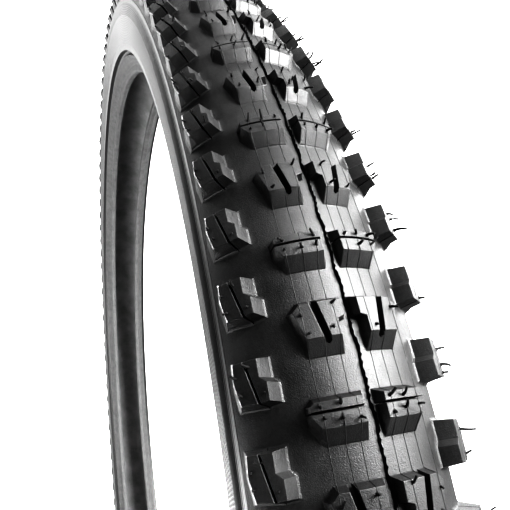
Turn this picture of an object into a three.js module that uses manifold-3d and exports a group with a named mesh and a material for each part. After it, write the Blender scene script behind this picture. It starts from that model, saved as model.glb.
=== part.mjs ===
// Knobbly mountain-bike tyre, 29 x 2.3 (ETRTO 58-622), in the shape it has on an inflated wheel.
// Millimetres, +Z up. The wheel's axis is Y, the origin is the wheel's centre and +Y is the left side.
// Every layer of the tyre is a closed ring of its own, laid up from the air cavity outwards.

import * as THREE from 'three';
import { mergeVertices } from 'three/addons/utils/BufferGeometryUtils.js';
import Module from 'manifold-3d';

const wasm = await Module();
wasm.setup();

// Overall sizes
const OUTER_RADIUS = 371; // over the centre knobs
const BELLY_RADIUS = 337.5; // wheel's centre to the middle of the air cavity
const CASING_HALF_WIDTH = 27; // of the round section that the tread's part of the casing line follows
const SIDE_FLATNESS = 2.9; // how far the casing's sides stand inside that round section, at most
const FLAT_SIDE = [62, 134]; // degrees round the section from the crown, deepest in the middle
const CENTRE_KNOB_HEIGHT = 3.2;
const SHOULDER_KNOB_HEIGHT = 5;

// Layers, as distances outwards from the casing line
const LINER = [-0.85, -0.15];
const CHAFER = [-0.75, -0.15];
const INNER_PLY = [0, 0.5];
const OUTER_PLY = [0.65, 1.15];
const BREAKER = [1.3, 1.7];
const PROTECTION = [1.3, 1.7];
const TREAD_BASE = [1.85, 2.55];
const SIDEWALL = [1.85, 2.8];
const TREAD = [2.7, 3.9];

const CASING_HALF_HEIGHT = OUTER_RADIUS - CENTRE_KNOB_HEIGHT - TREAD[1] - BELLY_RADIUS;

// Stations of each layer, in degrees round the section from the crown. An outer layer keeps the
// stations of the layers inside it, so the flat facets never meet.
const CASING_STATIONS = [0, 32, 63, 90, 118];
const BREAKER_STATIONS = [0, 32];
const PROTECTION_STATIONS = [63, 90, 105];
const TREAD_BASE_STATIONS = [0, 32, 62];
const CENTRE_TREAD_STATIONS = [0, 31];
const SHOULDER_TREAD_STATIONS = [33, 62];
const SIDEWALL_STATIONS = [64, 90, 105, 118];

// Bead of the left side, as radius and distance from the middle plane, along the casing line
const SIDEWALL_END = [323.9, 20.7];
const BEAD_HINGE = [318.3, 15];
const LINER_END = [316.5, 13.2];
const BEAD_WRAP = [
  [316.2, 12.9],
  [312.6, 12.6],
  [311.9, 13.3],
  [311.9, 16],
  [312.6, 16.75],
  [316, 16.75],
  [321.5, 22.1],
];
const BEAD_CORE = { centre: [314.1, 14.75], radius: 1.25, sides: 6 };
const BEAD_FILLER = [
  [315.6, 14.2],
  [315.6, 15.6],
  [319.9, 19.3],
  [319.9, 18.7],
];

// Tread pattern: rows of centre knobs, and a shoulder knob between each two rows
const ROWS = 112;
const SEGMENTS = 28; // facets of each ring, four rows on a facet
const PITCH = (2 * Math.PI) / ROWS;
const FIRST_ROW = 0.36 * PITCH; // keeps the centre knobs clear of the edges between facets
const KNOB_DEPTH = 4.2; // how far a knob's root is below its foot, before it is trimmed in its strip
const KNOB_ROOT = TREAD[0] + 0.5;
const JOIN_TOLERANCE = 0.002;

// Knobs, in millimetres from the knob's middle: across from the crown outwards, along towards the
// leading side. Station is where the middle lies, in degrees from the crown.
const WIDE_KNOB = {
  station: 15.5,
  height: CENTRE_KNOB_HEIGHT - 0.37, // a flat top inside the crown's round
  top: { across: [-6, 5.8], along: [-2.8, 3.6] },
  root: { across: [-6.6, 6.9], along: [-5, 8.6] },
};
const SLOTTED_KNOB = {
  station: 15.5,
  height: CENTRE_KNOB_HEIGHT - 0.37,
  top: { across: [-5.5, 3.9], along: [-5, 4.4] },
  root: { across: [-6.2, 5.4], along: [-6.4, 9] },
};
const SHOULDER_KNOB = {
  station: 48.5,
  height: SHOULDER_KNOB_HEIGHT - 0.3,
  top: { across: [-4.2, 2.8], along: [-4.8, 4.8] },
  root: { across: [-5.6, 6], along: [-6, 6] },
};

const TREAD_RUBBER = { color: 0x202021, roughness: 0.45 };
const RUBBER = { color: 0x1a1a1b, roughness: 0.5 };
const BUTYL = { color: 0x151515, roughness: 0.6 };
const CORD = { color: 0x6d5a3c, roughness: 0.85 };
const WEAVE = { color: 0x77777a, roughness: 0.9 };
const ARAMID = { color: 0xb59a45, roughness: 0.7 };

const toPoints = (pairs) => pairs.map(([radius, side]) => new THREE.Vector2(radius, side));
const mirror = (point) => new THREE.Vector2(point.x, -point.y);
const bothSides = (stations) => [...stations.filter((a) => a > 0).map((a) => -a).reverse(), ...stations];

// Direction out of the casing, in the section
function outward(degrees) {
  const angle = THREE.MathUtils.degToRad(degrees);
  const x = Math.cos(angle) / CASING_HALF_HEIGHT;
  return new THREE.Vector2(x, Math.sin(angle) / CASING_HALF_WIDTH).normalize();
}

// How far one side of the section stands inside the round one
function flattening(degrees) {
  const share = (Math.abs(degrees) - FLAT_SIDE[0]) / (FLAT_SIDE[1] - FLAT_SIDE[0]);
  if (share <= 0 || share >= 1) return 0;
  return Math.sign(degrees) * SIDE_FLATNESS * Math.sin(Math.PI * share) ** 2;
}

// Point of the section at an angle from the crown and a distance out from the casing line
function sectionPoint(degrees, distance) {
  const angle = THREE.MathUtils.degToRad(degrees);
  const radius = BELLY_RADIUS + CASING_HALF_HEIGHT * Math.cos(angle);
  const side = CASING_HALF_WIDTH * Math.sin(angle) - flattening(degrees);
  return new THREE.Vector2(radius, side).addScaledVector(outward(degrees), distance);
}

// A bent line moved to its right by a distance, each corner along its middle
function movedLine(line, distance) {
  return line.map((point, i) => {
    const ahead = line[Math.min(i + 1, line.length - 1)];
    const behind = line[Math.max(i - 1, 0)];
    const leave = ahead.clone().sub(i + 1 < line.length ? point : behind).normalize();
    const enter = point.clone().sub(i > 0 ? behind : ahead).normalize();
    const along = i > 0 ? enter : leave;
    const next = i + 1 < line.length ? leave : along;
    const right = new THREE.Vector2(along.y + next.y, -along.x - next.x).normalize();
    const stretch = 1 / (right.x * along.y - right.y * along.x);
    return point.clone().addScaledVector(right, distance * stretch);
  });
}

function withMergedCorners(geometry) {
  geometry.deleteAttribute('normal');
  geometry.deleteAttribute('uv');
  return mergeVertices(geometry, 1e-4);
}

// Closed ring that a section outline sweeps round the wheel's axis
function ring(outline) {
  const turned = THREE.ShapeUtils.area(outline) > 0 ? outline : [...outline].reverse();
  return withMergedCorners(new THREE.LatheGeometry([...turned, turned[0]], SEGMENTS));
}

// Outline between an outer and an inner line that run the same way
const between = (outer, inner) => [...outer, ...[...inner].reverse()];

const layerOutline = (stations, [inside, outside]) =>
  between(
    stations.map((angle) => sectionPoint(angle, outside)),
    stations.map((angle) => sectionPoint(angle, inside)),
  );

// Outline of a band along part of the bead's line, on the left side
const beadBand = (pairs, from, to, [inside, outside]) =>
  between(
    movedLine(toPoints(pairs), outside).slice(from, to),
    movedLine(toPoints(pairs), inside).slice(from, to),
  );

// One face of a casing layer from bead to bead, which follows the crown and then each bead's line
function casingFace(beadLine, distance) {
  const left = movedLine(toPoints(beadLine), distance);
  const crown = bothSides(CASING_STATIONS).map((angle) => sectionPoint(angle, distance));
  return [...left.map(mirror).reverse(), ...crown, ...left];
}

const casingRing = (beadLine, [inside, outside]) =>
  ring(between(casingFace(beadLine, outside), casingFace(beadLine, inside)));

// The ring of the right side is the left one's mirror image
const sideRing = (outline, side) => ring(side === 'left' ? outline : outline.map(mirror));

function sidewall(side) {
  const end = beadBand([SIDEWALL_END, BEAD_HINGE], 0, 1, SIDEWALL);
  const layer = layerOutline(SIDEWALL_STATIONS, SIDEWALL);
  const last = SIDEWALL_STATIONS.length;
  return sideRing([...layer.slice(0, last), ...end, ...layer.slice(last)], side);
}

function beadCore(side) {
  const [radius, offset] = BEAD_CORE.centre;
  const outline = new THREE.Path().absarc(radius, offset, BEAD_CORE.radius, 0, 2 * Math.PI, false);
  return sideRing(outline.getPoints(BEAD_CORE.sides).slice(0, BEAD_CORE.sides), side);
}

// Placing of a knob: X along the tread to its leading side, Y across to the left, Z out of the tyre
function knobPlace(station, angle) {
  const point = sectionPoint(station, TREAD[1]);
  const out = outward(station);
  const place = new THREE.Matrix4().makeBasis(
    new THREE.Vector3(0, 0, -1),
    new THREE.Vector3(-out.y, out.x, 0),
    new THREE.Vector3(out.x, out.y, 0),
  );
  place.setPosition(point.x, point.y, 0);
  return new THREE.Matrix4().makeRotationY(-angle).multiply(place);
}

// A block with drafted sides, from its top down to its root
function knobBlock({ height, top, root }, sign) {
  const block = new THREE.BoxGeometry(1, 1, 1);
  const corners = block.attributes.position;
  for (let i = 0; i < corners.count; i += 1) {
    const isTop = corners.getZ(i) > 0;
    const { along, across } = isTop ? top : root;
    const x = along[corners.getX(i) > 0 ? 1 : 0];
    const y = across[corners.getY(i) * sign > 0 ? 1 : 0] * sign;
    corners.setXYZ(i, x, y, isTop ? height : -KNOB_DEPTH);
  }
  return block;
}

// The knob at an angle round the wheel, on the left (+1) or the right (-1)
function knobSolid(knob, angle, sign) {
  const block = knobBlock(knob, sign).applyMatrix4(knobPlace(knob.station * sign, angle));
  return solidOf(withMergedCorners(block));
}

function solidOf(geometry) {
  const vertProperties = new Float32Array(geometry.attributes.position.array);
  const triVerts = new Uint32Array(geometry.index.array);
  return new wasm.Manifold(new wasm.Mesh({ numProp: 3, vertProperties, triVerts }));
}

function solidGeometry(solid) {
  const { vertProperties, triVerts } = solid.getMesh();
  const geometry = new THREE.BufferGeometry();
  geometry.setAttribute('position', new THREE.BufferAttribute(vertProperties, 3));
  geometry.setIndex(new THREE.BufferAttribute(triVerts, 1));
  return geometry;
}

// The moulded strip of rubber between two stations, with its knobs trimmed inside it and joined on
function knobbedStrip(stations, knobs) {
  const strip = solidOf(ring(layerOutline(stations, TREAD)));
  const below = solidOf(ring(layerOutline(stations, [TREAD[1] - 2 * KNOB_DEPTH, KNOB_ROOT])));
  const trimmed = wasm.Manifold.union(knobs).subtract(below);
  return solidGeometry(strip.add(trimmed).asOriginal().simplify(JOIN_TOLERANCE));
}

const rowAngle = (row) => FIRST_ROW + row * PITCH;
const rowList = Array.from({ length: ROWS }, (_, row) => row);

function centreTread() {
  const knobs = rowList.flatMap((row) => {
    const knob = row % 2 === 0 ? WIDE_KNOB : SLOTTED_KNOB;
    return [1, -1].map((sign) => knobSolid(knob, rowAngle(row), sign));
  });
  return knobbedStrip(bothSides(CENTRE_TREAD_STATIONS), knobs);
}

function shoulderTread(side) {
  const sign = side === 'left' ? 1 : -1;
  const knobs = rowList.map((row) => knobSolid(SHOULDER_KNOB, rowAngle(row + 0.5), sign));
  return knobbedStrip(SHOULDER_TREAD_STATIONS.map((angle) => angle * sign), knobs);
}

const tyre = new THREE.Group();

function addPiece(name, geometry, look) {
  const mesh = new THREE.Mesh(geometry, new THREE.MeshStandardMaterial({ ...look, metalness: 0 }));
  mesh.name = name;
  tyre.add(mesh);
}

addPiece('inner_liner', casingRing([BEAD_HINGE, LINER_END], LINER), BUTYL);
addPiece('casing_ply_inner', casingRing([BEAD_HINGE, ...BEAD_WRAP], INNER_PLY), CORD);
addPiece('casing_ply_outer', ring(layerOutline(bothSides(CASING_STATIONS), OUTER_PLY)), CORD);
addPiece('breaker_belt', ring(layerOutline(bothSides(BREAKER_STATIONS), BREAKER)), CORD);
addPiece('tread_base', ring(layerOutline(bothSides(TREAD_BASE_STATIONS), TREAD_BASE)), RUBBER);
addPiece('centre_tread', centreTread(), TREAD_RUBBER);
for (const side of ['left', 'right']) {
  const wrap = beadBand([LINER_END, ...BEAD_WRAP], 1, BEAD_WRAP.length + 1, CHAFER);
  const insert = layerOutline(PROTECTION_STATIONS, PROTECTION);
  addPiece(`shoulder_tread_${side}`, shoulderTread(side), TREAD_RUBBER);
  addPiece(`sidewall_${side}`, sidewall(side), RUBBER);
  addPiece(`sidewall_protection_${side}`, sideRing(insert, side), WEAVE);
  addPiece(`bead_core_${side}`, beadCore(side), ARAMID);
  addPiece(`bead_filler_${side}`, sideRing(toPoints(BEAD_FILLER), side), RUBBER);
  addPiece(`chafer_${side}`, sideRing(wrap, side), WEAVE);
}

export default tyre;
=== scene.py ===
"""Bicycle tyre: smooth tread, sidewalls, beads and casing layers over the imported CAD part.

Metres in Blender, millimetres in the shape tables below. The wheel's axis is Y and its centre is the origin.
A place on the tread is (along, across, height): along is measured round the tyre over the centre knobs,
downwards at the tyre's front (+X), across is measured round the section from the middle line, positive
towards +Y, and height stands on the tread's base. A place in the section is (radius, side): its distances
from the wheel's axis and from the tyre's middle plane.
"""

import math
import random

import bpy
import numpy as np
from mathutils import Matrix, Vector
from mathutils.bvhtree import BVHTree
from mathutils.geometry import delaunay_2d_cdt


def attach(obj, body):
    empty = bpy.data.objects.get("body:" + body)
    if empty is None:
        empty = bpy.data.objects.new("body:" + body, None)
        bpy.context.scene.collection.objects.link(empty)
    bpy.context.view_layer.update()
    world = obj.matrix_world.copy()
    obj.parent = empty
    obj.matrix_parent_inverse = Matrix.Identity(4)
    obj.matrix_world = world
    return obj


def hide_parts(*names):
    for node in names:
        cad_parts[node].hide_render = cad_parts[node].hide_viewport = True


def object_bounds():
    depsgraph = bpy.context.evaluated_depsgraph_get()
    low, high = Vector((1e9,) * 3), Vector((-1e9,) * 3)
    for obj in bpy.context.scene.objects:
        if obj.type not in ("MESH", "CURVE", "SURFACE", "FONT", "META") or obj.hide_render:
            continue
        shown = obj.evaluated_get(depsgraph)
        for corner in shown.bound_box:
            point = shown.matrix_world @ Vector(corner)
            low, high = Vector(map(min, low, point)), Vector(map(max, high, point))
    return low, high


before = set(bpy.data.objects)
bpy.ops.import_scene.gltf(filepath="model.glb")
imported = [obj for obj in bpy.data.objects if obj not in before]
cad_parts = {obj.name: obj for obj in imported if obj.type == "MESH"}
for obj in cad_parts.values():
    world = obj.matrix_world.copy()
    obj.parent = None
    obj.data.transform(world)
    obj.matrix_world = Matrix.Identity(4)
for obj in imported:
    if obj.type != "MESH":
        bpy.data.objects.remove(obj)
cad_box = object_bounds()

MM = 0.001
SIDE_NAMES = {1: "left", -1: "right"}

# The casing's section: an ellipse whose centre is BELLY_RADIUS from the axis, pressed flatter at the sides.
BELLY_RADIUS = 337.5
CASING_HALF_HEIGHT = 26.4
CASING_HALF_WIDTH = 27.0
SIDE_FLATNESS = 2.9
FLAT_FROM, FLAT_TO = math.radians(62), math.radians(134)

# Round the tyre: rows of knobs, in tiles of two rows that repeat.
CROWN_RADIUS = 371.0
ROWS = 112
PITCH = 2 * math.pi / ROWS
FIRST_ROW = 0.36 * PITCH
TILES = ROWS // 2
ROW_LENGTH = PITCH * CROWN_RADIUS
TILE_LENGTH = 2 * PITCH * CROWN_RADIUS

# Across the tread: ARC is the length of one radian of the section, and depths are outside the casing line.
ARC = 30.6
BASE_DEPTH = 3.9
UNDERSIDE_DEPTH = 2.7
CENTRE_DEGREES, SHOULDER_DEGREES = 32, 62
CENTRE_EDGE = math.radians(CENTRE_DEGREES) * ARC
SHOULDER_EDGE = math.radians(SHOULDER_DEGREES) * ARC
CENTRE_KNOB_HEIGHT = 3.2
SHOULDER_KNOB_HEIGHT = 5.0


# ---------------------------------------------------------------- the tyre's section

def section(phi, depth):
    """(radius, side) of the section, depth outside the casing line, at the angle phi from the crown."""
    normal = np.stack([np.cos(phi) / CASING_HALF_HEIGHT, np.sin(phi) / CASING_HALF_WIDTH], -1)
    normal /= np.linalg.norm(normal, axis=-1, keepdims=True)
    radius = BELLY_RADIUS + CASING_HALF_HEIGHT * np.cos(phi) + depth * normal[..., 0]
    share = np.clip((np.abs(phi) - FLAT_FROM) / (FLAT_TO - FLAT_FROM), 0, 1)
    flattening = np.sign(phi) * SIDE_FLATNESS * np.sin(math.pi * share) ** 2
    side = CASING_HALF_WIDTH * np.sin(phi) - flattening + depth * normal[..., 1]
    return radius, side


def tread_point(along, across, height, start):
    """Places in metres on the tread, for the row whose angle is start."""
    radius, side = section(np.asarray(across) / ARC, BASE_DEPTH + np.asarray(height))
    theta = start - np.asarray(along) / CROWN_RADIUS
    return np.stack([radius * np.cos(theta), side + 0 * theta, radius * np.sin(theta)], -1) * MM


def row_angle(row):
    return FIRST_ROW + row * PITCH


def new_piece(name, points, faces, material, slot, replaces=(), sharp=34):
    """A smooth-shaded mesh object, with edges sharper than sharp degrees left sharp."""
    mesh = bpy.data.meshes.new(name)
    mesh.from_pydata([tuple(p) for p in points], [], [tuple(int(i) for i in f) for f in faces])
    mesh.polygons.foreach_set("use_smooth", [True] * len(mesh.polygons))
    mesh.set_sharp_from_angle(angle=math.radians(sharp))
    mesh.materials.append(material)
    mesh.update()
    piece = bpy.data.objects.new(name, mesh)
    bpy.context.scene.collection.objects.link(piece)
    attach(piece, "root")
    if replaces:
        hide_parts(*replaces)


# ---------------------------------------------------------------- materials

# The radius that millimetres round the tyre are measured at, what a metre to the side adds across a cloth's
# threads, the radii of the sidewall's band whose paler tone is a painted sheen of grazing light, and how closely
# the threads under its skin lie.
THREAD_RADIUS = 320.0
SIDE_TO_THREADS = 700.0
SHEEN_BAND_FROM, SHEEN_BAND_TO = 325.5, 342.8
SIDEWALL_THREADS = 6.0


class Graph:
    """A node tree with a short call for each kind of node used here."""

    def __init__(self, tree):
        self.nodes, self.links = tree.nodes, tree.links

    def feed(self, socket, value):
        """Set a socket to a number, or link an output to it."""
        if isinstance(value, (int, float)):
            socket.default_value = value
        else:
            self.links.new(value, socket)

    def math(self, operation, *values, clamp=False):
        node = self.nodes.new("ShaderNodeMath")
        node.operation = operation
        node.use_clamp = clamp
        for socket, value in zip(node.inputs, values):
            self.feed(socket, value)
        return node.outputs[0]

    def times(self, a, b):
        return self.math("MULTIPLY", a, b)

    def weighted(self, a, weight_a, b, weight_b):
        """The sum of two outputs, each times its weight."""
        return self.math("ADD", self.times(a, weight_a), self.times(b, weight_b))

    def ramp(self, factor, stops):
        """A colour ramp through (place, grey) or (place, colour) stops."""
        node = self.nodes.new("ShaderNodeValToRGB")
        elements = node.color_ramp.elements
        while len(elements) < len(stops):
            elements.new(0.5)
        for element, (place, colour) in zip(elements, stops):
            element.position = place
            element.color = (*colour, 1) if isinstance(colour, tuple) else (colour, colour, colour, 1)
        self.links.new(factor, node.inputs["Fac"])
        return node.outputs["Color"]

    def by_ray(self, camera, others):
        """One shader for what the camera sees directly, and another for light and reflections."""
        path = self.nodes.new("ShaderNodeLightPath")
        mix = self.nodes.new("ShaderNodeMixShader")
        self.links.new(path.outputs["Is Camera Ray"], mix.inputs["Fac"])
        self.links.new(others.outputs[0], mix.inputs[1])
        self.links.new(camera.outputs[0], mix.inputs[2])
        return mix.outputs[0]


class Finish(Graph):
    """A material in the making: its nodes, its shader and the object coordinates its textures use."""

    def __init__(self, name):
        self.material = bpy.data.materials.new(name)
        self.material.use_nodes = True
        super().__init__(self.material.node_tree)
        self.shader = self.nodes["Principled BSDF"]
        self.place = self.nodes.new("ShaderNodeTexCoord").outputs["Object"]

    def set(self, socket, value):
        self.feed(self.shader.inputs[socket], value)

    def ring(self):
        """Millimetres round the tyre and out from its axis, and metres to its side."""
        split = self.nodes.new("ShaderNodeSeparateXYZ")
        self.links.new(self.place, split.inputs[0])
        x, y, z = split.outputs
        angle = self.math("ARCTAN2", z, x)
        radius = self.math("SQRT", self.math("ADD", self.times(x, x), self.times(z, z)))
        return self.times(angle, THREAD_RADIUS), self.times(radius, 1 / MM), y

    def noise(self, scale, detail, rough=0.6):
        texture = self.nodes.new("ShaderNodeTexNoise")
        texture.inputs["Scale"].default_value = scale
        texture.inputs["Detail"].default_value = detail
        texture.inputs["Roughness"].default_value = rough
        self.links.new(self.place, texture.inputs["Vector"])
        return texture.outputs["Fac"]

    def bump(self, height, strength, distance, normal=None):
        node = self.nodes.new("ShaderNodeBump")
        node.inputs["Strength"].default_value = strength
        node.inputs["Distance"].default_value = distance
        self.links.new(height, node.inputs["Height"])
        if normal is not None:
            self.links.new(normal, node.inputs["Normal"])
        return node.outputs["Normal"]


def rubber(name, dark, light, rough, grain=0.6, specular=0.5):
    """Moulded rubber: a fine grain, soft dusty patches and small scuffs."""
    finish = Finish(name)
    dust = finish.weighted(finish.noise(scale=55, detail=5), 0.65, finish.noise(scale=1500, detail=2), 0.35)
    finish.set("Base Color", finish.ramp(dust, [(0.36, dark), (0.66, light)]))
    scuffs = finish.noise(scale=260, detail=4, rough=0.7)
    finish.set("Roughness", finish.ramp(scuffs, [(0.3, rough - 0.06), (0.7, rough + 0.08)]))
    finish.set("Specular IOR Level", specular)
    coarse = finish.bump(finish.noise(scale=420, detail=3), strength=0.05, distance=0.0004)
    fine = finish.bump(finish.noise(scale=3200, detail=3), grain, 0.0002, coarse)
    finish.set("Normal", fine)
    return finish.material


def sidewall_rubber(name):
    """Black rubber with a band near the rim where the casing's threads show through a thin skin; the band's paler
    tone is a painted sheen of grazing light.
    """
    finish = Finish(name)
    round_mm, out_mm, _ = finish.ring()
    # The band is lightened as a painted sheen of grazing light; the threads inside it are real texture.
    wander = finish.times(finish.noise(scale=300, detail=3), 1.2)
    below_edge = finish.math("SUBTRACT", finish.math("ADD", wander, SHEEN_BAND_TO), out_mm)
    above_edge = finish.math("SUBTRACT", out_mm, SHEEN_BAND_FROM)
    painted_sheen = finish.times(finish.math("MULTIPLY", below_edge, 1.4, clamp=True),
                        finish.math("MULTIPLY", above_edge, 0.3, clamp=True))
    warp = finish.math("SINE", finish.weighted(round_mm, SIDEWALL_THREADS, out_mm, SIDEWALL_THREADS))
    weft = finish.math("SINE", finish.weighted(round_mm, SIDEWALL_THREADS, out_mm, -SIDEWALL_THREADS))
    threads = finish.times(finish.math("MAXIMUM", warp, weft), painted_sheen)
    dirt = finish.noise(scale=700, detail=4, rough=0.7)
    tone = finish.math("MULTIPLY_ADD", threads, 0.08, finish.weighted(painted_sheen, 0.5, dirt, 0.4))
    finish.set("Base Color", finish.ramp(tone, [(0.1, 0.01), (0.4, 0.022), (0.62, 0.09), (0.95, 0.24)]))
    finish.set("Roughness", finish.ramp(dirt, [(0.3, 0.36), (0.7, 0.5)]))
    coarse = finish.bump(threads, strength=0.5, distance=0.0001)
    finish.set("Normal", finish.bump(finish.noise(scale=2400, detail=2), 0.35, 0.0001, coarse))
    return finish.material


def woven(name, dark, light, rough, threads, strength):
    """Cloth threads round the tyre and across it, rubbed with rubber."""
    finish = Finish(name)
    round_mm, out_mm, side = finish.ring()
    across = finish.math("ADD", out_mm, finish.times(side, SIDE_TO_THREADS))
    warp = finish.math("SINE", finish.times(round_mm, threads))
    weft = finish.math("SINE", finish.times(across, threads))
    height = finish.math("MULTIPLY_ADD", finish.times(warp, weft), 0.5, 0.5)
    wear = finish.noise(scale=160, detail=5, rough=0.65)
    tone = finish.weighted(height, 0.45, wear, 0.75)
    finish.set("Base Color", finish.ramp(tone, [(0.3, dark), (0.85, light)]))
    finish.set("Roughness", rough)
    coarse = finish.bump(height, strength, distance=0.0003)
    finish.set("Normal", finish.bump(finish.noise(scale=2200, detail=2), 0.25, 0.0001, coarse))
    return finish.material


def aramid(name):
    """A bundle of golden aramid fibres wound side by side, soaked with rubber in places."""
    finish = Finish(name)
    _, out_mm, _ = finish.ring()
    strands = finish.math("SINE", finish.times(out_mm, 12.0))
    soaked = finish.noise(scale=130, detail=4)
    finish.set("Base Color", finish.ramp(soaked, [(0.3, (0.1, 0.07, 0.025)), (0.7, (0.48, 0.33, 0.08))]))
    finish.set("Roughness", finish.ramp(soaked, [(0.3, 0.5), (0.7, 0.72)]))
    finish.set("Normal", finish.bump(strands, strength=0.6, distance=0.0002))
    return finish.material


TREAD_RUBBER = rubber("tread_rubber", dark=0.008, light=0.026, rough=0.37)
# Near-black matte rubber for the hairs; on the parting flash it is painted shade, so the fin reads black like its
# shadowed side.
SPEW_AND_SHADE_RUBBER = rubber("spew_and_shade_rubber", dark=0.004, light=0.009, rough=0.7, specular=0.3)
SIDEWALL_RUBBER = sidewall_rubber("sidewall_rubber")
FILLER_RUBBER = rubber("filler_rubber", dark=0.02, light=0.03, rough=0.5)
LINER_RUBBER = rubber("liner_rubber", dark=0.14, light=0.28, rough=0.6, grain=0.5)
# The lips' pale tone is a painted highlight: it stands in for grazing light catching the edge of black rubber
# flash.
LIP_HIGHLIGHT_RUBBER = rubber("lip_highlight_rubber", dark=0.15, light=0.5, rough=0.4)
CHAFER_CLOTH = woven("chafer_cloth", dark=0.03, light=0.12, rough=0.62, threads=5.2, strength=0.8)
CASING_CLOTH = woven("casing_cloth", dark=0.05, light=0.16, rough=0.6, threads=7.0, strength=0.6)
BREAKER_CLOTH = woven("breaker_cloth", dark=0.12, light=0.3, rough=0.6, threads=4.0, strength=0.6)
BEAD_FIBRE = aramid("bead_fibre")


# ---------------------------------------------------------------- rings turned round the axis

def ring_piece(name, profile, segments, material, slot, replaces):
    """A closed profile of (radius, side) points turned round the wheel's axis."""
    profile = np.array(profile, float)
    radius, side = profile.T
    area = np.sum(radius * np.roll(side, -1) - np.roll(radius, -1) * side)
    if area < 0:
        radius, side = profile[::-1].T
    count = len(profile)
    theta = np.arange(segments) * 2 * math.pi / segments
    points = np.stack([np.outer(np.cos(theta), radius),
                       np.outer(np.ones(segments), side),
                       np.outer(np.sin(theta), radius)], -1) * MM
    j, i = np.meshgrid(np.arange(segments), np.arange(count), indexing="ij")
    next_j, next_i = (j + 1) % segments, (i + 1) % count
    faces = np.stack([j * count + i, next_j * count + i, next_j * count + next_i, j * count + next_i], -1)
    new_piece(name, points.reshape(-1, 3), faces.reshape(-1, 4)[:, ::-1], material, slot, replaces)


def moved_line(line, distance):
    """The open line's points moved to the right of its direction, with its corners kept sharp."""
    line = np.array(line, float)
    steps = np.diff(line, axis=0)
    normals = np.stack([steps[:, 1], -steps[:, 0]], -1) / np.linalg.norm(steps, axis=1, keepdims=True)
    corners = normals[:-1] + normals[1:]
    corners *= 2 / np.sum(corners * corners, axis=1, keepdims=True)
    return line + distance * np.concatenate([normals[:1], corners, normals[-1:]])


def arc_points(from_degrees, to_degrees, depth, step=2.0):
    """Points of the section at a depth outside the casing line, which may depend on the angle."""
    count = max(2, int(round(abs(to_degrees - from_degrees) / step)) + 1)
    phi = np.radians(np.linspace(from_degrees, to_degrees, count))
    depth = depth(np.degrees(phi)) if callable(depth) else depth
    return list(zip(*section(phi, depth)))


def band(from_degrees, to_degrees, inner, outer):
    return arc_points(from_degrees, to_degrees, outer) + arc_points(to_degrees, from_degrees, inner)


def mirror(profile, side):
    return [(radius, place * side) for radius, place in profile]


# ---------------------------------------------------------------- tread tiles

# A block has RINGS outlines with points EDGE_SPACING apart, and the sheet's other points keep CLEARANCE from
# them. The underside takes every UNDERSIDE_STEP-th point across.
RINGS = 7
EDGE_SPACING = 1.5
CLEARANCE = 0.35
UNDERSIDE_STEP = 4
TREAD_SHARPNESS = 14


def ring_distances(draft, fillet):
    """How far outside the line of the top edge each ring runs, from the top inwards one to the foot."""
    foot = 0.04 + 0.88 * draft
    return (-0.24 * min(1, fillet + 0.4), -0.06, 0.0, 0.85 * foot, foot,
            0.06 + draft + 0.2 * fillet, 0.08 + draft + 0.62 * fillet)


def ring_heights(cap):
    """How high each ring stands where the top is cap high: rounded edge, plane wall and foot fillet."""
    edge, wall_foot = cap - min(0.2, 0.35 * cap), min(0.45, 0.35 * cap)
    return (cap, cap - min(0.05, 0.1 * cap), edge, wall_foot + 0.15 * (edge - wall_foot), wall_foot,
            min(0.14, 0.12 * cap), 0.0)


def signed_area(corners):
    """Positive where the corners run anticlockwise."""
    t, s = np.array(corners, float).T
    return 0.5 * np.sum(t * np.roll(s, -1) - np.roll(t, -1) * s)


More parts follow.
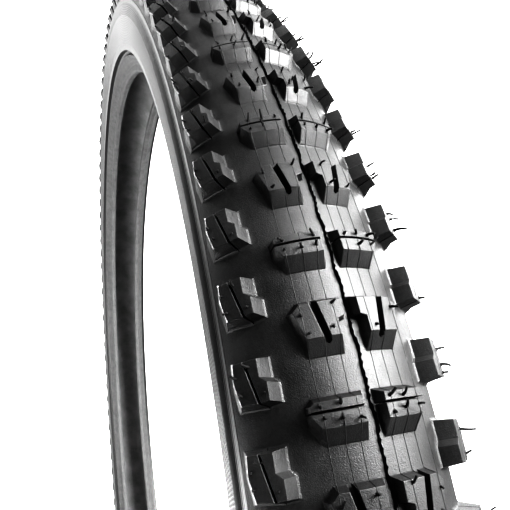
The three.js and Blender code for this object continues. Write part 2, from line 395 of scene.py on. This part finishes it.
class Block:
    """A raised block: corners (along, across, draft, fillet) of its top edge, and where its top ramps down.

    Draft and fillet are those of the side that runs from the corner to the next one.
    """

    RAMP_END = 0.15

    def __init__(self, corners, height, ramp=None, crease_lines=()):
        places = [c[:2] for c in corners]
        sides = [c[2:] for c in corners]
        if signed_area(places) < 0:
            places = places[::-1]
            sides = sides[::-1]
            sides = sides[1:] + sides[:1]
        self.places = np.array(places, float)
        self.sides = np.array(sides, float)
        self.height = height
        self.ramp = ramp
        self.creases = [(self.nearest(*line[:2]), self.nearest(*line[2:])) for line in crease_lines]

    def nearest(self, along, across):
        return int(np.argmin(np.linalg.norm(self.places - (along, across), axis=1)))

    def cap(self, along):
        """The height of the block's top."""
        along = np.asarray(along, float)
        if self.ramp is None:
            return np.full(along.shape, self.height)
        start, end = self.ramp
        share = np.clip((along - start) / (end - start), 0, 1)
        return self.height + (self.RAMP_END - self.height) * share

    def rings(self):
        """[(points, heights)] from the top inwards ring to the foot."""
        cap = self.cap(self.places[:, 0])
        lengths = np.linalg.norm(np.roll(self.places, -1, 0) - self.places, axis=1)
        counts = np.maximum(1, np.ceil(lengths / EDGE_SPACING).astype(int))
        self.corner_index = np.concatenate([[0], np.cumsum(counts)[:-1]])
        result = []
        for kind in range(RINGS):
            corners = self._moved(kind, cap / self.height)
            points, heights = [], []
            for k, count in enumerate(counts):
                here, after = corners[k], corners[(k + 1) % len(corners)]
                cap_here, cap_after = cap[k], cap[(k + 1) % len(corners)]
                for step in range(count):
                    share = step / count
                    points.append(here + (after - here) * share)
                    heights.append(ring_heights(cap_here + (cap_after - cap_here) * share)[kind])
            points = np.array(points)
            if kind == 0:
                heights = self.cap(points[:, 0])
            result.append((points, np.array(heights)))
        return result

    def _moved(self, kind, ratio):
        """The corners of one ring; a side's draft is in proportion to the block's height there."""
        count = len(self.places)
        moved = []
        for k in range(count):
            before, here, after = self.places[k - 1], self.places[k], self.places[(k + 1) % count]
            normals, distances = [], []
            for a, b, (draft, fillet) in ((before, here, self.sides[k - 1]), (here, after, self.sides[k])):
                d = (b - a) / np.linalg.norm(b - a)
                normals.append(np.array([d[1], -d[0]]))
                distances.append(ring_distances(draft * ratio[k], fillet)[kind])
            n = np.array(normals)
            if abs(np.linalg.det(n)) > 0.2:
                shift = np.linalg.solve(n, distances)
            else:
                shift = n.mean(0) / np.linalg.norm(n.mean(0)) * np.mean(distances)
            moved.append(here + shift)
        return np.array(moved)


def inside(points, loop):
    """Which points lie inside the closed loop."""
    a, b = loop, np.roll(loop, -1, 0)
    t, s = points[:, None, 0], points[:, None, 1]
    crosses = (a[:, 1] > s) != (b[:, 1] > s)
    with np.errstate(divide="ignore", invalid="ignore"):
        where = (b[:, 0] - a[:, 0]) * (s - a[:, 1]) / (b[:, 1] - a[:, 1]) + a[:, 0]
    return (crosses & (t < where)).sum(1) % 2 == 1


def distance_to(points, loop):
    """The distance from each point to the closed loop."""
    a, b = loop, np.roll(loop, -1, 0)
    d = b - a
    rel = points[:, None] - a
    share = np.clip((rel * d).sum(-1) / (d * d).sum(-1), 0, 1)
    return np.linalg.norm(rel - share[..., None] * d, axis=-1).min(1)


class Tile:
    """One repeat of the tread, two rows long, as a triangulated sheet of heights."""

    STEP = 1.3

    def __init__(self, first_along, across_from, across_to, blocks):
        self.first = first_along
        steps_along = int(round(TILE_LENGTH / self.STEP))
        steps_across = max(2, int(round((across_to - across_from) / self.STEP)))
        self.alongs = first_along + np.linspace(0, TILE_LENGTH, steps_along + 1)
        self.acrosses = np.linspace(across_from, across_to, steps_across + 1)
        points, heights, edges = [], [], []

        def add(new_points, new_heights, closed=True):
            start = len(points)
            points.extend(map(tuple, new_points))
            heights.extend(new_heights)
            if closed:
                count = len(new_points)
                edges.extend((start + k, start + (k + 1) % count) for k in range(count))
            return start

        grid = np.array([(t, s) for t in self.alongs[1:-1] for s in self.acrosses[1:-1]])
        level = np.zeros(len(grid))
        keep = np.ones(len(grid), bool)
        for block in blocks:
            rings = block.rings()
            foot, top = rings[-1][0], rings[0][0]
            in_foot, in_top = inside(grid, foot), inside(grid, top)
            at_foot = distance_to(grid, foot) < CLEARANCE
            at_top = distance_to(grid, top) < CLEARANCE
            keep &= ~((in_foot & ~in_top) | at_foot | (at_top & in_foot))
            level[in_top] = block.cap(grid[in_top, 0])
            starts = [add(*ring) for ring in rings]
            for a, b in block.creases:
                edges.append((starts[0] + block.corner_index[a], starts[0] + block.corner_index[b]))
        outline = ([(t, self.acrosses[0]) for t in self.alongs[:-1]]
                   + [(self.alongs[-1], s) for s in self.acrosses[:-1]]
                   + [(t, self.acrosses[-1]) for t in self.alongs[:0:-1]]
                   + [(self.alongs[0], s) for s in self.acrosses[:0:-1]])
        outline_start = add(outline, [0.0] * len(outline))
        add(grid[keep], level[keep], False)
        out, _, faces, origin, _, _ = delaunay_2d_cdt([Vector(p) for p in points], edges, [], 0, 1e-7, True)
        if len(out) != len(points):
            raise RuntimeError(f"tile outlines cross: {len(points)} points in, {len(out)} out")
        new_index = {old: new for new, olds in enumerate(origin) for old in olds}
        self.points = np.array([tuple(p) for p in out])
        self.heights = np.zeros(len(out))
        for old, height in enumerate(heights):
            self.heights[new_index[old]] = height
        self.faces = np.array(faces)
        corners = np.cumsum([0, steps_along, steps_across, steps_along, steps_across])
        border = [new_index[outline_start + k] for k in range(len(outline))]
        border.append(border[0])
        self.low, self.end, high, begin = (border[a:b + 1] for a, b in zip(corners, corners[1:]))
        self.high, self.begin = high[::-1], begin[::-1]
        flat = [Vector((*p, h)) for p, h in zip(self.points, self.heights)]
        self.tree = BVHTree.FromPolygons(flat, [list(f) for f in faces])

    def height_at(self, along, across):
        along = self.first + (along - self.first) % TILE_LENGTH
        hit = self.tree.ray_cast(Vector((along, across, 50)), Vector((0, 0, -1)))
        return hit[0].z if hit[0] is not None else 0.0


def tread_piece(name, tile, replaces):
    """The tile repeated round the tyre, closed underneath and along both edges."""
    end_to_begin = dict(zip(tile.end, tile.begin))
    own = [k for k in range(len(tile.points)) if k not in end_to_begin]
    place_of = {k: i for i, k in enumerate(own)}
    local = np.array([place_of.get(k, -1) for k in range(len(tile.points))])
    across_under = tile.acrosses[::UNDERSIDE_STEP]
    if across_under[-1] != tile.acrosses[-1]:
        across_under = np.append(across_under, tile.acrosses[-1])
    lengths, widths = len(tile.alongs) - 1, len(across_under)
    stride = len(own) + lengths * widths
    points, faces = [], []
    for j in range(TILES):
        start = row_angle(2 * j)
        following = (j - 1) % TILES  # along runs against the angle, so a tile ends where the one before starts
        ids = np.where(local >= 0, local + j * stride, 0)
        for k, b in end_to_begin.items():
            ids[k] = local[b] + following * stride
        points.append(tread_point(tile.points[own, 0], tile.points[own, 1], tile.heights[own], start))
        faces.extend(ids[tile.faces].tolist())
        along, across = np.meshgrid(tile.alongs[:-1], across_under, indexing="ij")
        points.append(tread_point(along.ravel(), across.ravel(), UNDERSIDE_DEPTH - BASE_DEPTH, start))

        def under(a, c):
            if a == lengths:
                return following * stride + len(own) + c
            return j * stride + len(own) + a * widths + c

        last = widths - 1
        for a in range(lengths):
            for c in range(last):
                faces.append((under(a, c), under(a, c + 1), under(a + 1, c + 1), under(a + 1, c)))
            faces.append((ids[tile.low[a]], under(a, 0), under(a + 1, 0), ids[tile.low[a + 1]]))
            faces.append((ids[tile.high[a + 1]], under(a + 1, last), under(a, last), ids[tile.high[a]]))
    new_piece(name, np.concatenate(points), faces, TREAD_RUBBER, "tread", replaces, TREAD_SHARPNESS)


def mirrored(corners):
    return [(along, -across, *side) for along, across, *side in corners]


def shifted(corners, distance):
    return [(along + distance, *rest) for along, *rest in corners]


# The knobs. Corners are (along, across, draft, fillet), and SIPE is the wall of a narrow cut: nearly upright,
# with almost no fillet. A ramp falls between two places along, and a crease joins two corners.
SIPE = (0.03, 0.05)
WIDE_REAR = [
    (-0.25, 2.4, 0.9, 0.35), (-2.3, 2.4, 1.0, 0.35), (-2.3, 12.6, 1.0, 0.35),
    (-1.5, 13.45, 1.2, 0.35), (-0.25, 13.45, *SIPE),
]
WIDE_RAMP = (3.42, 7.2)
WIDE_FRONT = [
    (0.25, 13.45, 1.2, 0.35), (0.9, 13.45, 1.9, 0.35), (3.42, 11.9, 1.6, 0.35), (7.2, 11.7, 0.1, 0.3),
    (7.2, 2.1, 0.8, 0.35), (3.42, 2.4, 0.8, 0.35), (0.25, 2.4, *SIPE),
]
WIDE_CREASES = [(3.42, 2.4, 3.42, 11.9)]
SLOTTED_RAMP = (4.36, 8.38)
SLOTTED = [
    (-4.3, 1.9, 1.0, 0.35), (-4.3, 7.4, 0.12, 0.3), (4.36, 5.85, 0.12, 0.3), (5.4, 5.75, 0.1, 0.3),
    (5.9, 6.4, 0.1, 0.3), (5.4, 7.2, 0.12, 0.3), (4.36, 7.35, 0.12, 0.3), (-4.3, 9.0, 1.0, 0.35),
    (-4.3, 11.1, 1.2, 0.35), (-2.5, 12.96, 1.3, 0.35), (4.36, 11.15, 1.3, 0.35), (8.38, 11.3, 0.1, 0.3),
    (8.38, 2.9, 0.8, 0.35), (4.36, 3.39, 0.8, 0.35), (0.6, 3.39, 0.2, 0.4), (0.0, 1.9, 0.8, 0.35),
]
SLOTTED_CREASES = [(4.36, 3.39, 4.36, 5.85), (4.36, 7.35, 4.36, 11.15)]
SIDE_OUTER = [
    (6.2, 27.6, 0.5, 0.9), (6.2, 25.15, 0.03, 0.05), (16.5, 23.05, 0.6, 0.9), (16.3, 26.9, 3.6, 1.0),
    (11.0, 27.9, 3.6, 1.0),
]
SIDE_INNER = [
    (6.2, 24.65, 0.5, 0.9), (6.2, 21.9, 1.3, 1.4), (10.6, 21.9, 0.9, 1.0), (12.0, 20.5, 1.3, 1.4),
    (16.2, 20.5, 0.6, 0.9), (16.5, 22.55, 0.03, 0.05),
]
CENTRE_TILE_START, SHOULDER_TILE_START = -6.8, 1.4


def centre_block(side, row, corners, ramp=None, creases=()):
    """A centre knob, or half of one, on one side of the middle line."""
    move = row * ROW_LENGTH
    turned = mirrored(shifted(corners, move)) if side < 0 else shifted(corners, move)
    if ramp is not None:
        ramp = [along + move for along in ramp]
    lines = [(a + move, b * side, c + move, d * side) for a, b, c, d in creases]
    return Block(turned, CENTRE_KNOB_HEIGHT, ramp, lines)


def shoulder_blocks(side):
    turn = mirrored if side < 0 else list
    return [Block(turn(shifted(corners, row * ROW_LENGTH)), SHOULDER_KNOB_HEIGHT)
            for row in range(2) for corners in (SIDE_OUTER, SIDE_INNER)]


centre_blocks = [block for side in SIDE_NAMES for block in (
    centre_block(side, 0, WIDE_REAR), centre_block(side, 0, WIDE_FRONT, WIDE_RAMP, WIDE_CREASES),
    centre_block(side, 1, SLOTTED, SLOTTED_RAMP, SLOTTED_CREASES))]
centre_tile = Tile(CENTRE_TILE_START, -CENTRE_EDGE, CENTRE_EDGE, centre_blocks)
shoulder_tiles = {side: Tile(SHOULDER_TILE_START, *sorted((side * CENTRE_EDGE, side * SHOULDER_EDGE)),
                             shoulder_blocks(side)) for side in SIDE_NAMES}

tread_piece("centre_tread_rubber", centre_tile, ["centre_tread"])
for side, tile in shoulder_tiles.items():
    tread_piece(f"shoulder_tread_rubber_{SIDE_NAMES[side]}", tile, [f"shoulder_tread_{SIDE_NAMES[side]}"])


# ---------------------------------------------------------------- vent lines, parting line and spews

# A ridge follows samples of the tread's profile and its root is sunk into the rubber. The lines are places
# across the tread. LIP_LINE gives the shoulder knobs' outer edge as places along, and across for each.
SAMPLE_SPACING, SAMPLE_TOLERANCE = 0.08, 0.03
RIDGE_ROOT = 0.06
DETAIL_SHARPNESS, SPEW_SHARPNESS = 30, 60
VENT_HEIGHT = 0.1
VENT_LINES = [3.9, 7.3, 11.2]
LONE_VENT_LINE = 16.3
PARTING_LINE = 0.5
LIP_REACH, LIP_STEPS = (6.1, 16.4), 15
LIP_LINE = [6.2, 11.0, 16.3], [27.6, 27.9, 26.9]

# Where hairs stand on each kind of knob, and how much longer or shorter those of the shoulders are.
SPEWS = {
    "wide": [(-1.3, 3.9), (-1.2, 7.3), (-1.3, 11.2), (1.9, 3.9), (1.7, 7.3), (1.6, 11.2)],
    "slotted": [(-3.2, 3.9), (-0.2, 7.0), (2.6, 5.0), (-1.8, 11.2), (3.2, 10.0)],
    "right_side": [(8.0, 24.1), (9.6, 27.2), (13.8, 26.6), (14.6, 21.6)],
    "left_side": [(7.8, 24.6), (8.6, 26.6), (13.2, 26.4), (15.0, 25.9)],
}
SPEW_REACH = {"left_side": 1.7, "right_side": 0.7}
SPEW_LENGTHS = [1.0, 1.5, 1.9, 2.4]
SPEW_RINGS, SPEW_SIDES = 7, 6
SPEW_TAPER, SPEW_ROOT, SPEW_SUNK = 0.3, 1.25, 0.15
SHARE_MISSING = 0.12

rng = random.Random(5)


def height_at(along, across):
    if abs(across) < CENTRE_EDGE:
        return centre_tile.height_at(along, across)
    return shoulder_tiles[1 if across > 0 else -1].height_at(along, across)


def cut_line(across, longest):
    """The tread's profile along one tile, kept to few points: (along, height), and its outward normals."""
    count = int(round(TILE_LENGTH / SAMPLE_SPACING))
    alongs = np.arange(count) * TILE_LENGTH / count
    line = [(along, height_at(along, across)) for along in alongs]
    kept = [line[0]]
    last = 0
    for k in range(2, count):
        start, end = np.array(line[last]), np.array(line[k])
        length = np.linalg.norm(end - start)
        direction = (end - start) / length
        between = np.array(line[last + 1:k]) - start
        off = np.abs(between[:, 0] * direction[1] - between[:, 1] * direction[0]).max()
        if off > SAMPLE_TOLERANCE or length > longest:
            last = k - 1
            kept.append(line[last])
    kept = np.array(kept)
    after = np.concatenate([kept[1:], kept[:1] + (TILE_LENGTH, 0)]) - kept
    after /= np.linalg.norm(after, axis=1, keepdims=True)
    mean = np.roll(after, 1, 0) + after
    mean /= np.linalg.norm(mean, axis=1, keepdims=True)
    return kept, np.stack([-mean[:, 1], mean[:, 0]], 1)


def ridge_piece(name, acrosses, wander, half_width, height_of, longest, material):
    """Thin three-sided ridges that follow the tread's surface all the way round."""
    points, faces = [], []
    for across in acrosses:
        base = len(points)
        kept, normals = (part[::-1] for part in cut_line(across, longest))
        total = len(kept) * TILES
        for index in range(total):
            tile, k = divmod(index, len(kept))
            (a, h), (na, nh) = kept[k], normals[k]
            place = across + wander * math.sin(index * 0.37) * math.sin(index * 0.113)
            top = height_of(index)
            for out, rise in ((-half_width, -RIDGE_ROOT), (0, top), (half_width, -RIDGE_ROOT)):
                points.append(tread_point(a + rise * na, place + out, h + rise * nh, row_angle(2 * tile)))
        for k in range(total):
            here, after = base + 3 * k, base + 3 * ((k + 1) % total)
            faces.extend([(here, after, after + 1, here + 1), (here + 1, after + 1, after + 2, here + 2),
                          (here + 2, after + 2, after, here)])
    new_piece(name, points, faces, material, "tread", (), DETAIL_SHARPNESS)


def knob_lips(name, material):
    """A torn strip of mould flash along the outer edge of every shoulder knob's top."""
    points, faces = [], []
    foot = SHOULDER_KNOB_HEIGHT - 0.15
    for row in range(ROWS):
        for side in SIDE_NAMES:
            base = len(points)
            for along in np.linspace(*LIP_REACH, LIP_STEPS):
                across = np.interp(along, *LIP_LINE)
                half = rng.uniform(0.1, 0.2)
                top = SHOULDER_KNOB_HEIGHT + rng.uniform(0.05, 0.25)
                for out, height in ((-half, foot), (-0.6 * half, top), (half, top - 0.05), (half + 0.1, foot)):
                    points.append(tread_point(along, side * (across + out), height, row_angle(row)))
            for k in range(LIP_STEPS - 1):
                for c in range(4):
                    a, b = base + 4 * k + c, base + 4 * k + (c + 1) % 4
                    faces.append((a, b, b + 4, a + 4) if side > 0 else (a, a + 4, b + 4, b))
            far = base + 4 * (LIP_STEPS - 1)
            faces.append(tuple(range(base, base + 4))[::-side])
            faces.append(tuple(range(far, far + 4))[::side])
    new_piece(name, points, faces, material, "tread", (), DETAIL_SHARPNESS)


def flash_height(k):
    return 0.55 + 0.5 * rng.random() if k % 3 else 1.1 + 0.3 * rng.random()


vents = [side * across for side in SIDE_NAMES for across in VENT_LINES] + [LONE_VENT_LINE]
ridge_piece("vent_lines", vents, wander=0.1, half_width=0.13, height_of=lambda k: VENT_HEIGHT, longest=2.0,
            material=TREAD_RUBBER)
# The lips wear the pale rubber above as a painted highlight along each knob's outer edge.
knob_lips("knob_edge_lips", LIP_HIGHLIGHT_RUBBER)
# The parting flash takes the near-black rubber as painted shade for its shadowed side.
ridge_piece("parting_flash", [PARTING_LINE], wander=0.3, half_width=0.34, height_of=flash_height, longest=0.7,
            material=SPEW_AND_SHADE_RUBBER)


def spew(points, faces, base, direction, bend, length, thickness):
    """A closed tapered hair of rubber that stands at base and curls by bend."""
    start = len(points)
    for ring in range(SPEW_RINGS):
        share = ring / (SPEW_RINGS - 1)
        centre = base + direction * length * share + bend * length * share * share
        tangent = (direction + bend * 2 * share).normalized()
        u = tangent.orthogonal().normalized()
        v = tangent.cross(u)
        radius = thickness * (1 - SPEW_TAPER * share) * (SPEW_ROOT if ring == 0 else 1)
        for k in range(SPEW_SIDES):
            angle = 2 * math.pi * k / SPEW_SIDES
            points.append(centre + (u * math.cos(angle) + v * math.sin(angle)) * radius)
    for ring in range(SPEW_RINGS - 1):
        for k in range(SPEW_SIDES):
            a = start + ring * SPEW_SIDES + k
            b = start + ring * SPEW_SIDES + (k + 1) % SPEW_SIDES
            faces.append((a, b, b + SPEW_SIDES, a + SPEW_SIDES))
    tip = start + (SPEW_RINGS - 1) * SPEW_SIDES
    faces.append(tuple(range(start, start + SPEW_SIDES))[::-1])
    faces.append(tuple(range(tip, tip + SPEW_SIDES)))


def add_spews(points, faces, start, side, kind):
    for along, across in SPEWS[kind]:
        if rng.random() < SHARE_MISSING:
            continue
        along += rng.uniform(-0.4, 0.4)
        across = side * (across + rng.uniform(-0.25, 0.25))
        ground = height_at(along + (ROW_LENGTH if kind == "slotted" else 0), across)
        base = Vector(tread_point(along, across, ground - SPEW_SUNK, start).tolist())
        above = Vector(tread_point(along, across, ground + 1, start).tolist())
        normal = (above - base).normalized()
        theta = start - along / CROWN_RADIUS
        tangent = Vector((-math.sin(theta), 0, math.cos(theta)))
        sideways = normal.cross(tangent)
        direction = (normal + tangent * rng.uniform(-0.35, 0.45) + sideways * rng.uniform(-0.5, 0.5)).normalized()
        bend = tangent * rng.uniform(-0.5, 0.6) + sideways * rng.uniform(-0.5, 0.5)
        length = rng.choice(SPEW_LENGTHS) * SPEW_REACH.get(kind, 1.0) * MM
        spew(points, faces, base, direction, bend, length, rng.uniform(0.32, 0.45) * MM)


hair_points, hair_faces = [], []
for row in range(ROWS):
    for side, word in SIDE_NAMES.items():
        add_spews(hair_points, hair_faces, row_angle(row), side, "slotted" if row % 2 else "wide")
        add_spews(hair_points, hair_faces, row_angle(row), side, f"{word}_side")
new_piece("vent_spews", hair_points, hair_faces, SPEW_AND_SHADE_RUBBER, "tread", (), SPEW_SHARPNESS)


# ---------------------------------------------------------------- sidewalls, beads and casing layers

FINE_SEGMENTS, COARSE_SEGMENTS = 448, 224
SIDEWALL_START, SIDEWALL_STOP = 62.3, 118
SIDEWALL_UNDER_TREAD, SIDEWALL_INNER_DEPTH = 64, 1.85
SIDEWALL_LIP_DEPTH = 2.7
SIDEWALL_END = (323.9, 20.7)
SIDEWALL_END_CORNERS = [(-0.5, 0.35), (-0.9, -0.3), (-0.4, -0.7)]
RIB_SPACING, RIB_HEIGHT = 1.8, 0.11
BEAD_HINGE = (318.3, 15.0)
BEAD_WRAP = [(316.2, 12.9), (312.6, 12.6), (311.9, 13.3), (311.9, 16.0), (312.6, 16.75), (316.0, 16.75),
             (321.5, 22.1)]
CHAFER_THICKNESS = 0.45
BEAD_CORE = (314.1, 14.75)
BEAD_CORE_RADIUS, BEAD_CORE_SIDES = 1.25, 24
BEAD_FILLER = [(315.6, 14.2), (315.6, 15.6), (319.9, 19.3), (319.9, 18.7)]
CLOTH_DEPTHS = (1.3, 1.7)
TREAD_BASE_DEPTHS = (1.85, 2.55)
PROTECTION_DEGREES = (63, 105)


def sidewall_depth(degrees):
    """Fine ribs round the sidewall between two smooth bands, and a thicker edge under the tread."""
    ribbed = np.clip((degrees - 66) / 4, 0, 1) * np.clip((112 - degrees) / 4, 0, 1)
    ribs = RIB_HEIGHT * ribbed * np.sin(degrees * 2 * math.pi / RIB_SPACING)
    return 2.8 + 1.1 * np.clip((66.5 - degrees) / 4, 0, 1) + ribs


def sidewall_profile():
    outer = arc_points(SIDEWALL_START, SIDEWALL_STOP, sidewall_depth, step=0.3)
    end = [(SIDEWALL_END[0] + out, SIDEWALL_END[1] + side) for out, side in SIDEWALL_END_CORNERS]
    inner = arc_points(SIDEWALL_STOP, SIDEWALL_UNDER_TREAD, SIDEWALL_INNER_DEPTH)
    lip = arc_points(SIDEWALL_START, SIDEWALL_START, SIDEWALL_LIP_DEPTH)[:1]
    return outer + end + inner + lip


def bead_core_profile():
    angles = np.linspace(0, 2 * math.pi, BEAD_CORE_SIDES, endpoint=False)
    return [(BEAD_CORE[0] + BEAD_CORE_RADIUS * math.cos(a), BEAD_CORE[1] + BEAD_CORE_RADIUS * math.sin(a))
            for a in angles]


def bead_to_bead(inner, outer, inner_end, outer_end):
    """A layer's profile: the casing's curve at two depths, with a straight end at each bead's hinge."""
    lines = []
    for depth, (out, side) in ((outer, outer_end), (inner, inner_end)):
        half = np.array(arc_points(0, SIDEWALL_STOP, depth) + [(BEAD_HINGE[0] + out, BEAD_HINGE[1] + side)])
        lines.append(np.concatenate([(half * (1, -1))[:0:-1], half]))
    return np.concatenate([lines[0], lines[1][::-1]])


chafer_profile = [*moved_line(BEAD_WRAP, -CHAFER_THICKNESS), *BEAD_WRAP[::-1]]
protection_profile = band(*PROTECTION_DEGREES, *CLOTH_DEPTHS)
for side, word in SIDE_NAMES.items():
    for name, profile, segments, material, slot, node in (
            ("sidewall_rubber", sidewall_profile(), FINE_SEGMENTS, SIDEWALL_RUBBER, "sidewall", "sidewall"),
            ("chafer_cloth", chafer_profile, FINE_SEGMENTS, CHAFER_CLOTH, "chafer", "chafer"),
            ("bead_fibres", bead_core_profile(), COARSE_SEGMENTS, BEAD_FIBRE, "bead_bundle", "bead_core"),
            ("bead_apex", BEAD_FILLER, COARSE_SEGMENTS, FILLER_RUBBER, "insert", "bead_filler"),
            ("protection_cloth", protection_profile, COARSE_SEGMENTS, BREAKER_CLOTH, "breaker",
             "sidewall_protection")):
        ring_piece(f"{name}_{word}", mirror(profile, side), segments, material, slot, [f"{node}_{word}"])

for name, profile, material, slot, node in (
        ("inner_liner_rubber", bead_to_bead(-0.85, -0.15, (-0.6, -0.6), (-0.15, -0.1)), LINER_RUBBER, "liner",
         "inner_liner"),
        ("inner_ply_cloth", bead_to_bead(0.0, 0.5, (0.0, 0.0), (-0.3, 0.4)), CASING_CLOTH, "casing",
         "casing_ply_inner"),
        ("outer_ply_cloth", bead_to_bead(0.65, 1.15, (-0.4, 0.5), (-0.7, 0.9)), CASING_CLOTH, "casing",
         "casing_ply_outer"),
        ("breaker_cloth", band(-CENTRE_DEGREES, CENTRE_DEGREES, *CLOTH_DEPTHS), BREAKER_CLOTH, "breaker",
         "breaker_belt"),
        ("tread_base_rubber", band(-SHOULDER_DEGREES, SHOULDER_DEGREES, *TREAD_BASE_DEPTHS), FILLER_RUBBER,
         "insert", "tread_base")):
    ring_piece(name, profile, COARSE_SEGMENTS, material, slot, [node])


# ---------------------------------------------------------------- floor, light and camera

FLOOR_REACH, FLOOR_GAP = 40.0, 0.0005


def stage_floor():
    """A floor that is white to the camera and dark grey to the tyre, so that it doesn't light it from below."""
    low = float(cad_box[0].z) - FLOOR_GAP
    corners = [(-FLOOR_REACH, -FLOOR_REACH, low), (FLOOR_REACH, -FLOOR_REACH, low),
               (FLOOR_REACH, FLOOR_REACH, low), (-FLOOR_REACH, FLOOR_REACH, low)]
    mesh = bpy.data.meshes.new("floor")
    mesh.from_pydata(corners, [], [(0, 1, 2, 3)])
    paper = Finish("floor_paper")
    paper.shader.inputs["Base Color"].default_value = (0.9, 0.9, 0.9, 1)
    paper.set("Roughness", 0.9)
    paper.set("Specular IOR Level", 0.0)
    glow = paper.nodes.new("ShaderNodeEmission")
    glow.inputs["Strength"].default_value = 0.8
    seen = paper.nodes.new("ShaderNodeAddShader")
    paper.links.new(glow.outputs[0], seen.inputs[0])
    paper.links.new(paper.shader.outputs[0], seen.inputs[1])
    grey = paper.nodes.new("ShaderNodeBsdfDiffuse")
    grey.inputs["Color"].default_value = (0.12, 0.12, 0.12, 1)
    paper.links.new(paper.by_ray(seen, grey), paper.nodes["Material Output"].inputs["Surface"])
    mesh.materials.append(paper.material)
    floor = bpy.data.objects.new("floor", mesh)
    bpy.context.scene.collection.objects.link(floor)


def softbox(name, place, aim, width, height, power):
    data = bpy.data.lights.new(name, "AREA")
    data.shape = "RECTANGLE"
    data.size = width
    data.size_y = height
    data.energy = power
    lamp = bpy.data.objects.new(name, data)
    lamp.location = place
    lamp.rotation_euler = (Vector(aim) - Vector(place)).to_track_quat("-Z", "Y").to_euler()
    bpy.context.scene.collection.objects.link(lamp)


def studio_world():
    """White to the camera. The tyre is lit by three soft bright patches on black: one above its +Y side,
    one behind it, and a bright one at the corner between them.
    """
    world = bpy.data.worlds.new("studio")
    bpy.context.scene.world = world
    world.use_nodes = True
    world.node_tree.nodes.clear()
    graph = Graph(world.node_tree)
    split = graph.nodes.new("ShaderNodeSeparateXYZ")
    graph.links.new(graph.nodes.new("ShaderNodeTexCoord").outputs["Generated"], split.inputs[0])
    x, y, z = split.outputs
    side_and_top = graph.ramp(graph.weighted(y, 0.72, z, 0.5),
                              [(0.2, 0.0), (0.4, 0.13), (0.58, 0.42), (0.9, 0.26)])
    behind = graph.ramp(graph.weighted(x, -0.9, y, -0.25), [(0.6, 0.0), (0.9, 0.42)])
    corner = graph.ramp(graph.weighted(x, -0.6, y, 0.75), [(0.8, 0.04), (0.94, 1.0)])
    light = graph.nodes.new("ShaderNodeBackground")
    graph.links.new(graph.math("MAXIMUM", graph.math("MAXIMUM", side_and_top, behind), corner),
                    light.inputs["Color"])
    light.inputs["Strength"].default_value = 3.5
    white = graph.nodes.new("ShaderNodeBackground")
    white.inputs["Color"].default_value = (1, 1, 1, 1)
    white.inputs["Strength"].default_value = 1.15
    graph.links.new(graph.by_ray(white, light), graph.nodes.new("ShaderNodeOutputWorld").inputs["Surface"])


stage_floor()
studio_world()
softbox("key_side", place=(0.25, 1.0, 0.4), aim=(0.3, 0.0, 0.14), width=1.2, height=0.9, power=3)
softbox("key_front", place=(0.92, 0.62, 0.82), aim=(0.33, 0.0, 0.17), width=0.6, height=0.6, power=24)
softbox("inside_fill", place=(0.0, -0.3, -0.1), aim=(-0.14, 0.0, 0.3), width=0.3, height=0.3, power=2.5)
softbox("low_fill", place=(0.45, -0.6, -0.28), aim=(0.3, 0.0, 0.15), width=0.4, height=0.3, power=1.2)

# Where the photographer stood. Yaw turns from -X, and angles are in radians.
CAMERA_PLACE = (0.430683, -0.061276, 0.210787)
CAMERA_YAW, CAMERA_PITCH, CAMERA_ROLL = -0.328, -0.083, -0.027
CAMERA_LENS, CAMERA_SENSOR = 37.4252, 36.0
forward = Vector((-math.cos(CAMERA_YAW) * math.cos(CAMERA_PITCH),
                  -math.sin(CAMERA_YAW) * math.cos(CAMERA_PITCH), math.sin(CAMERA_PITCH)))
right = forward.cross(Vector((0, 0, 1))).normalized()
upward = right.cross(forward)
turned_right = right * math.cos(CAMERA_ROLL) + upward * math.sin(CAMERA_ROLL)
turned_up = upward * math.cos(CAMERA_ROLL) - right * math.sin(CAMERA_ROLL)
camera_data = bpy.data.cameras.new("camera")
camera_data.sensor_width = CAMERA_SENSOR
camera_data.lens = CAMERA_LENS
camera_data.clip_start = 0.01
camera_data.clip_end = 200
camera = bpy.data.objects.new("camera", camera_data)
camera.matrix_world = Matrix.Translation(CAMERA_PLACE) @ Matrix(
    (turned_right, turned_up, -forward)).transposed().to_4x4()
bpy.context.scene.collection.objects.link(camera)
bpy.context.scene.camera = camera
bpy.context.scene.view_settings.view_transform = "Standard"
bpy.context.scene.view_settings.look = "Very High Contrast"
bpy.context.scene.view_settings.exposure = 0.8
